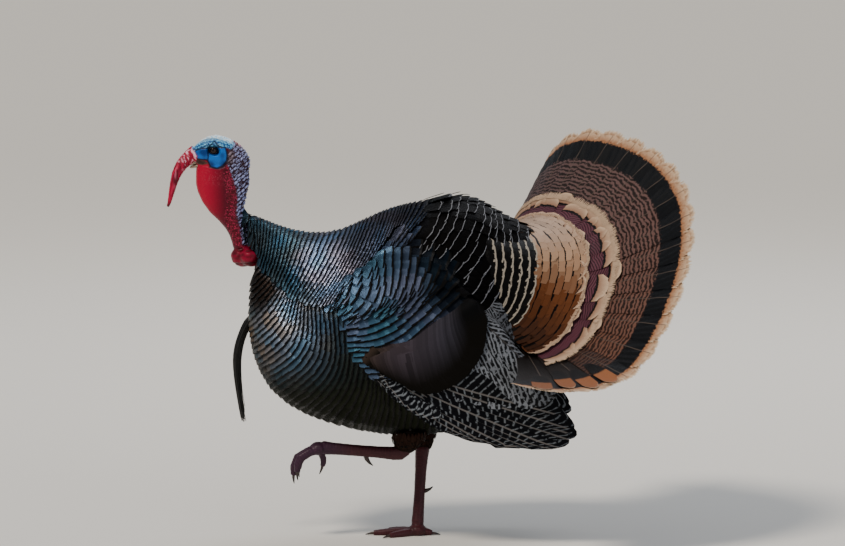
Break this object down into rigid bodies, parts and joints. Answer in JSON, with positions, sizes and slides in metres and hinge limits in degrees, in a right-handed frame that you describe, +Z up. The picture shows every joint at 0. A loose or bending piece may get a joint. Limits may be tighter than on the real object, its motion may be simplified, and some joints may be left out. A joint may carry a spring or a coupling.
{
  "type": "wild turkey",
  "caption": "Life-size still model of a wild turkey gobbler walking in full strut, with a raised tail fan, drooped wings, a hanging snood and one foot lifted.",
  "frame": {"origin": "middle of the flat sole of the standing right foot, on the floor", "axes": "the bird faces -Y, its left side is +X and +Z is up"},
  "size_m": [0.7795, 0.944, 0.7263],
  "materials": {
    "head_skin": "bare warty skin, white crown and blue face",
    "red_skin": "smooth fleshy skin, engorged red",
    "neck_skin": "warty grey-lilac skin with red creases",
    "eye": "wet dark brown eye",
    "horn": "polished horn",
    "claw": "dull dark horn",
    "leg_skin": "scaled skin",
    "bristle": "stiff black bristles",
    "bronze_feathers": "iridescent bronze contour feathers with black tips",
    "dark_feathers": "soft black-brown feathers with pale edges",
    "barred_feathers": "flight feathers barred white on dark grey",
    "rufous_feathers": "chestnut and buff coverts with fine black bars",
    "tail_feathers": "brown tail feathers, black band and buff tip"
  },
  "bodies": {
    "root": {"head": "head_skin", "eye_left": "eye", "eye_right": "eye", "snood": "red_skin", "bill_upper": "horn", "bill_lower": "horn", "throat": "red_skin", "neck_bare": "neck_skin", "caruncles_left": "red_skin", "caruncles_right": "red_skin", "neck_feathered": "bronze_feathers", "breast": "bronze_feathers", "back": "dark_feathers", "rump": "dark_feathers", "beard": "bristle", "wing_left_coverts": "bronze_feathers", "wing_left_secondaries": "barred_feathers", "wing_left_primaries": "barred_feathers", "wing_right_coverts": "bronze_feathers", "wing_right_secondaries": "barred_feathers", "wing_right_primaries": "barred_feathers", "tail_coverts_upper": "rufous_feathers", "tail_coverts_under": "rufous_feathers", "tail_feather_01": "tail_feathers", "tail_feather_02": "tail_feathers", "tail_feather_03": "tail_feathers", "tail_feather_04": "tail_feathers", "tail_feather_05": "tail_feathers", "tail_feather_06": "tail_feathers", "tail_feather_07": "tail_feathers", "tail_feather_08": "tail_feathers", "tail_feather_09": "tail_feathers", "tail_feather_10": "tail_feathers", "tail_feather_11": "tail_feathers", "tail_feather_12": "tail_feathers", "tail_feather_13": "tail_feathers", "tail_feather_14": "tail_feathers", "tail_feather_15": "tail_feathers", "tail_feather_16": "tail_feathers", "tail_feather_17": "tail_feathers", "tail_feather_18": "tail_feathers", "thigh_left": "dark_feathers", "shank_left": "leg_skin", "spur_left": "claw", "foot_left": "leg_skin", "claw_left_middle": "claw", "claw_left_inner": "claw", "claw_left_outer": "claw", "claw_left_hind": "claw", "thigh_right": "dark_feathers", "shank_right": "leg_skin", "spur_right": "claw", "foot_right": "leg_skin", "claw_right_middle": "claw", "claw_right_inner": "claw", "claw_right_outer": "claw", "claw_right_hind": "claw"}
  },
  "joints": []
}
